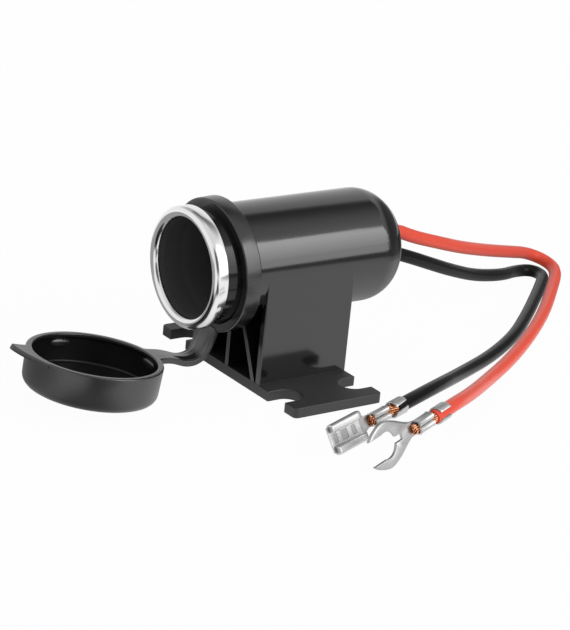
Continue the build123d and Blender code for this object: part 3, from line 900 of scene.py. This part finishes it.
class SOCKET_OT_rim(bpy.types.Operator):
    """Roll the bright rim over the tube's end"""

    bl_idname = "socket.rim"
    bl_label = "Bright rim"

    def execute(self, context):
        colours = context.scene.socket_finish
        outer = context.scene.socket_cap.rim / MM
        bore, seat, skirt, liner = 10.5, 12.45, 1.8, 1.6
        wall, clearance = 0.45, 0.02
        roll = (outer - bore) / 2
        shape = bmesh.new()
        section = wire(shape, [(outer, skirt, 0), (outer, -roll, 0), (bore, -roll, 0), (bore, liner, 0),
                               (bore + wall, liner, 0), (bore + wall, clearance, 0), (seat, clearance, 0),
                               (seat, skirt, 0)])
        shape.edges.new((section[-1], section[0]))
        round_corner(shape, section[0], 0.12, 3)
        for corner in section[1:3]:
            round_corner(shape, corner, roll * 0.999, 12)
        spin_round(shape, 144)
        # Painted light: the lining inside the bore gets the bore's lighter grey in place of chrome.
        for face in shape.faces:
            middle = face.calc_center_median()
            if hypot(middle.x, middle.z) < bore + 0.2 and middle.y > 0.3:
                give_second_material([face])
        chrome = speckled("rim_chrome", colours.chrome, 0.13, 0.2, 300, 0, metallic=1.0, spread=0.04)
        piece = make_piece("rim", shape, chrome, Matrix.Translation((0, TUBE_FRONT, AXIS_HEIGHT)))
        piece.data.materials.append(speckled("rim_inside", colours.bore, 0.6, 0.75, 400, 0))
        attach(piece, SOCKET)
        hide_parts("rim_ring")
        return {"FINISHED"}


class SOCKET_OT_strap(bpy.types.Operator):
    """Bend the ribbed strap from the ring to the cap"""

    bl_idname = "socket.strap"
    bl_label = "Strap"

    def execute(self, context):
        thickness = context.scene.socket_cap.strap / MM
        wall = context.scene.socket_cap.outer / MM
        rows = len(STRAP_LINE) - 1
        line = [Vector((0, along, up)) for along, up, half, rib in STRAP_LINE]
        shape = bmesh.new()
        bmesh.ops.create_grid(shape, x_segments=10, y_segments=rows, size=0.5)
        for vertex in shape.verts:
            row = round((vertex.co.y + 0.5) * rows)
            half, rib = STRAP_LINE[row][2:]
            run = (line[min(row + 1, rows)] - line[max(row - 1, 0)]).normalized()
            face = Vector((0, run.z, -run.y))
            across = vertex.co.x * 2
            lift = thickness / 2 + (rib if abs(across) < 0.45 else 0)
            vertex.co = line[row] + face * lift + Vector((across * half, 0, 0))
            if row >= rows - 1:
                vertex.co.y -= wall - sqrt(wall ** 2 - vertex.co.x ** 2)
        shape.normal_update()
        bmesh.ops.solidify(shape, geom=shape.faces[:], thickness=-thickness)
        bmesh.ops.recalc_face_normals(shape, faces=shape.faces[:])
        soften(shape, 0.16, 2, 60)
        piece = make_piece("strap", shape, rubber(context))
        smooth = piece.modifiers.new("smooth", "SUBSURF")
        smooth.levels = smooth.render_levels = 2
        settle(piece)
        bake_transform(piece)
        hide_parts("cap_strap")
        return {"FINISHED"}


class SOCKET_OT_cords(bpy.types.Operator):
    bl_idname = "socket.cords"
    bl_label = "Cords"

    def execute(self, context):
        pieces = bpy.data.objects
        for name in ("red_lead", "black_lead"):
            pieces[name].visible_glossy = False
        return {"FINISHED"}


def gloss_housing(colours):
    """Polished plastic outside, dull inside the bore and on the base plate, with painted light in the bore
    and painted shade on the neck.
    """
    polish = 0.9
    material, nodes, links, shader = new_material("gloss_housing", colours.housing, 0.12, specular=polish)
    place = nodes.new("ShaderNodeTexCoord").outputs["Object"]
    across = nodes.new("ShaderNodeVectorMath")
    across.operation = "MULTIPLY_ADD"
    across.inputs[1].default_value = (1, 0, 1)
    across.inputs[2].default_value = (0, 0, -AXIS_HEIGHT * MM)
    links.new(place, across.inputs[0])
    radius = compare(nodes, links, "LENGTH", across.outputs["Vector"])
    parts = split(nodes, links, place)
    bore = compute(nodes, links, "MULTIPLY", compute(nodes, links, "LESS_THAN", radius, BORE_RADIUS),
                   compute(nodes, links, "LESS_THAN", parts["Y"], BORE_REAR))
    # Painted light: the bore is a lighter grey than the housing.
    tint(nodes, links, bore, shader, colours.housing, colours.bore)
    waves = add_noise(nodes, links, 110, 1.0).outputs["Fac"]
    dull = compute(nodes, links, "ADD", ramp(nodes, links, waves, (0, 1), 0.1, 0.15),
                   fade(nodes, links, parts["Z"], PLATE_TOP, 0.45, 0.0))
    rough = nodes.new("ShaderNodeMix")
    links.new(bore, rough.inputs[0])
    links.new(dull, rough.inputs[2])
    rough.inputs[3].default_value = 0.75
    links.new(rough.outputs[0], shader.inputs["Roughness"])
    # Painted shade: the neck between rim and ring reflects less.
    links.new(ramp(nodes, links, parts["Y"], NECK, 0.35, polish), shader.inputs["Specular IOR Level"])
    add_bump(nodes, links, waves, shader, 0.00003)
    return material


class SOCKET_OT_finishes(bpy.types.Operator):
    """Give the housing and the contacts their finishes"""

    bl_idname = "socket.finishes"
    bl_label = "Finishes"

    def execute(self, context):
        colours = context.scene.socket_finish
        brass = speckled("contact_brass", colours.brass, 0.18, 0.3, 500, 0, metallic=1.0)
        # The insulator at the bore's bottom shares its lighter grey: painted light.
        insulator = speckled("insulator", colours.bore, 0.5, 0.65, 800, 0.00001)
        finish_node("housing", gloss_housing(colours))
        finish_node("contact_base", insulator)
        for node in ("positive_contact", "positive_lug", "ground_contact"):
            finish_node(node, brass)
        return {"FINISHED"}


def mix_by(nodes, links, share, first, second):
    """Mixes two shaders by a share."""
    mix = nodes.new("ShaderNodeMixShader")
    links.new(share, mix.inputs[0])
    links.new(first, mix.inputs[1])
    links.new(second, mix.inputs[2])
    return mix.outputs[0]


def ray_share(nodes, links, kinds, factor=1.0):
    """A share that is set where one of some kinds of ray looks."""
    path = nodes.new("ShaderNodeLightPath")
    total = path.outputs[kinds[0]]
    for kind in kinds[1:]:
        total = compute(nodes, links, "ADD", total, path.outputs[kind])
        total.node.use_clamp = True
    return compute(nodes, links, "MULTIPLY", total, factor)


def by_ray(nodes, links, plain, mirrored, seen, output, share=1.0):
    """Shows one shader to the camera, another in reflections, and lights the scene by a third."""
    glossy = ray_share(nodes, links, ("Is Glossy Ray", "Is Transmission Ray"))
    lit = mix_by(nodes, links, glossy, plain.outputs[0], mirrored.outputs[0])
    camera = ray_share(nodes, links, ("Is Camera Ray",), share)
    links.new(mix_by(nodes, links, camera, lit, seen.outputs[0]), nodes[output].inputs["Surface"])


def far_from(nodes, links, value, middle):
    """How far a value is from a middle one."""
    return compute(nodes, links, "ABSOLUTE", compute(nodes, links, "SUBTRACT", value, middle))


def from_camera(setup):
    """The direction from the object to the camera."""
    return Vector((sin(setup.azimuth) * cos(setup.elevation), -cos(setup.azimuth) * cos(setup.elevation),
                   sin(setup.elevation)))


def area_light(name, place, aim, size, power):
    """A soft box that faces a point."""
    data = bpy.data.lights.new(name, "AREA")
    data.shape = "RECTANGLE"
    data.size, data.size_y = size
    data.energy = power
    lamp = link_object(name, data)
    lamp.location = place
    lamp.rotation_euler = (Vector(aim) - Vector(place)).to_track_quat("-Z", "Y").to_euler()
    return lamp


class SOCKET_OT_stage(bpy.types.Operator):
    """Set up the camera, the white floor and the soft boxes"""

    bl_idname = "socket.stage"
    bl_label = "Stage"

    def execute(self, context):
        scene = context.scene
        setup = scene.socket_stage
        turn = Euler((pi / 2 - setup.elevation, 0, setup.azimuth)).to_quaternion()
        turn = turn @ Quaternion((0, 0, 1), setup.roll)
        data = bpy.data.cameras.new("photo_camera")
        data.sensor_width = 36
        data.lens = setup.lens
        data.clip_start = 0.01
        camera = link_object("photo_camera", data)
        camera.rotation_mode = "QUATERNION"
        camera.rotation_quaternion = turn
        camera.location = Vector(setup.aim) + turn @ Vector((0, 0, setup.distance))
        scene.camera = camera
        self.floor(setup)
        self.walls(scene, setup)
        for step, (power, cut) in enumerate(STRIPS):
            aim = Vector((0, 0, STRIP_LOWEST + STRIP_STEP * step)) - STRIP_ALONG * cut / 2
            area_light("strip", aim + STRIP_FACING * STRIP_DISTANCE, aim, (STRIP_WIDTH - cut, STRIP_STEP),
                       power * (1 - cut / STRIP_WIDTH))
        area_light("low_strip", *LOW_STRIP)
        scene.view_settings.view_transform = "Standard"
        return {"FINISHED"}

    def floor(self, setup):
        """A white floor that keeps a trace of the shadow, and shows painted shadows in reflections."""
        mesh = bpy.data.meshes.new("floor")
        sheet = bmesh.new()
        bmesh.ops.create_grid(sheet, x_segments=1, y_segments=1, size=6.0)
        sheet.to_mesh(mesh)
        sheet.free()
        floor = link_object("floor", mesh)
        material, nodes, links, shader = new_material("floor_white", (0.9, 0.9, 0.9), 0.9, specular=0.0)
        white = nodes.new("ShaderNodeEmission")
        mirrored = nodes.new("ShaderNodeEmission")
        place = nodes.new("ShaderNodeTexCoord").outputs["Object"]
        parts = split(nodes, links, place)
        # In reflections the floor glows with painted shadows in a band beside the object and a spot in
        # front, dimmer to the rear and along the camera's aisle.
        side = fade(nodes, links, far_from(nodes, links, parts["X"], SHADED_SIDE), (0.035, 0.08), 0.35)
        spot = fade(nodes, links, compare(nodes, links, "DISTANCE", place, SHADED_SPOT), (0.006, 0.022), 0.3)
        rear = compute(nodes, links, "MAXIMUM", fade(nodes, links, parts["Y"], (0.08, 0.14), 1.0, 0.25),
                       fade(nodes, links, parts["X"], (-0.15, -0.1), 1.0, 0.0))
        ends = compute(nodes, links, "MULTIPLY", rear, self.aisle(nodes, links, place, setup))
        strength = compute(nodes, links, "MULTIPLY", compute(nodes, links, "MULTIPLY", side, spot), ends)
        links.new(strength, mirrored.inputs["Strength"])
        by_ray(nodes, links, shader, mirrored, white, "Material Output", 0.97)
        mesh.materials.append(material)

    def aisle(self, nodes, links, place, setup):
        """Brightness of the floor in reflections along a dark aisle on the camera's side."""
        turned = nodes.new("ShaderNodeMapping")
        turned.inputs["Rotation"].default_value = (0, 0, -setup.azimuth)
        links.new(place, turned.inputs["Vector"])
        parts = split(nodes, links, turned.outputs["Vector"])
        beside = fade(nodes, links, far_from(nodes, links, parts["X"], AISLE_MIDDLE), (0.015, 0.035), 0.08)
        before = fade(nodes, links, parts["Y"], (-0.07, -0.055), 0.0)
        return compute(nodes, links, "MAXIMUM", beside, before)

    def walls(self, scene, setup):
        """White all round for the camera. In reflections, white walls with dark gaps where the camera
        stands and at the rear, under a ceiling that darkens to the rear left and overhead."""
        world = bpy.data.worlds.new("studio")
        scene.world = world
        world.use_nodes = True
        nodes, links = world.node_tree.nodes, world.node_tree.links
        fill = nodes["Background"]
        mirrored = nodes.new("ShaderNodeBackground")
        bright = nodes.new("ShaderNodeBackground")
        for shader in (fill, mirrored, bright):
            shader.inputs["Color"].default_value = (1, 1, 1, 1)
        fill.inputs["Strength"].default_value = setup.fill
        direction = nodes.new("ShaderNodeTexCoord").outputs["Generated"]
        parts = split(nodes, links, direction)
        gap = compare(nodes, links, "DOT_PRODUCT", direction, from_camera(setup))
        walls = compute(nodes, links, "MULTIPLY", fade(nodes, links, gap, (0.89, 0.96), setup.walls, 0.12),
                        fade(nodes, links, parts["Y"], (0.7, 0.85), 1.0, 0.2))
        rear_left = compute(nodes, links, "SUBTRACT", parts["Y"], parts["X"])
        ceiling = fade(nodes, links, rear_left, (0.216, 0.866), setup.ceiling_right, setup.ceiling)
        room = fade(nodes, links, parts["Z"], (0.69, 0.755), walls, ceiling)
        patch = compare(nodes, links, "DOT_PRODUCT", direction, OVERHEAD)
        sky = compute(nodes, links, "MULTIPLY", room, fade(nodes, links, patch, (0.8, 0.95), 1.0, 0.5))
        links.new(sky, mirrored.inputs["Strength"])
        by_ray(nodes, links, fill, mirrored, bright, "World Output")


class SOCKET_PT_panel(bpy.types.Panel):
    """Buttons for each group of pieces"""

    bl_idname = "SOCKET_PT_panel"
    bl_label = "Car power socket"
    bl_space_type = "VIEW_3D"
    bl_region_type = "UI"
    bl_category = "Socket"

    def draw(self, context):
        for operator in OPERATORS:
            self.layout.operator(operator.bl_idname)


GROUPS = {"socket_leads": SocketLeads, "socket_finish": SocketFinish, "socket_cap": SocketCap,
          "socket_terminals": SocketTerminals, "socket_stage": SocketStage}
OPERATORS = (SOCKET_OT_stage, SOCKET_OT_leads, SOCKET_OT_strands, SOCKET_OT_receptacle, SOCKET_OT_fork,
             SOCKET_OT_cords, SOCKET_OT_rim, SOCKET_OT_ring, SOCKET_OT_dust_cap, SOCKET_OT_strap,
             SOCKET_OT_finishes)
CLASSES = (*GROUPS.values(), *OPERATORS, SOCKET_PT_panel)


def register():
    for cls in CLASSES:
        bpy.utils.register_class(cls)
    for name, group in GROUPS.items():
        setattr(bpy.types.Scene, name, PointerProperty(type=group))


def unregister():
    for name in GROUPS:
        delattr(bpy.types.Scene, name)
    for cls in reversed(CLASSES):
        bpy.utils.unregister_class(cls)


def main():
    register()
    bpy.ops.socket.stage()
    bpy.ops.socket.leads()
    bpy.ops.socket.strands()
    bpy.ops.socket.receptacle()
    bpy.ops.socket.fork()
    bpy.ops.socket.cords()
    bpy.ops.socket.rim()
    bpy.ops.socket.ring()
    bpy.ops.socket.dust_cap()
    bpy.ops.socket.strap()
    bpy.ops.socket.finishes()


if __name__ == "__main__":
    main()
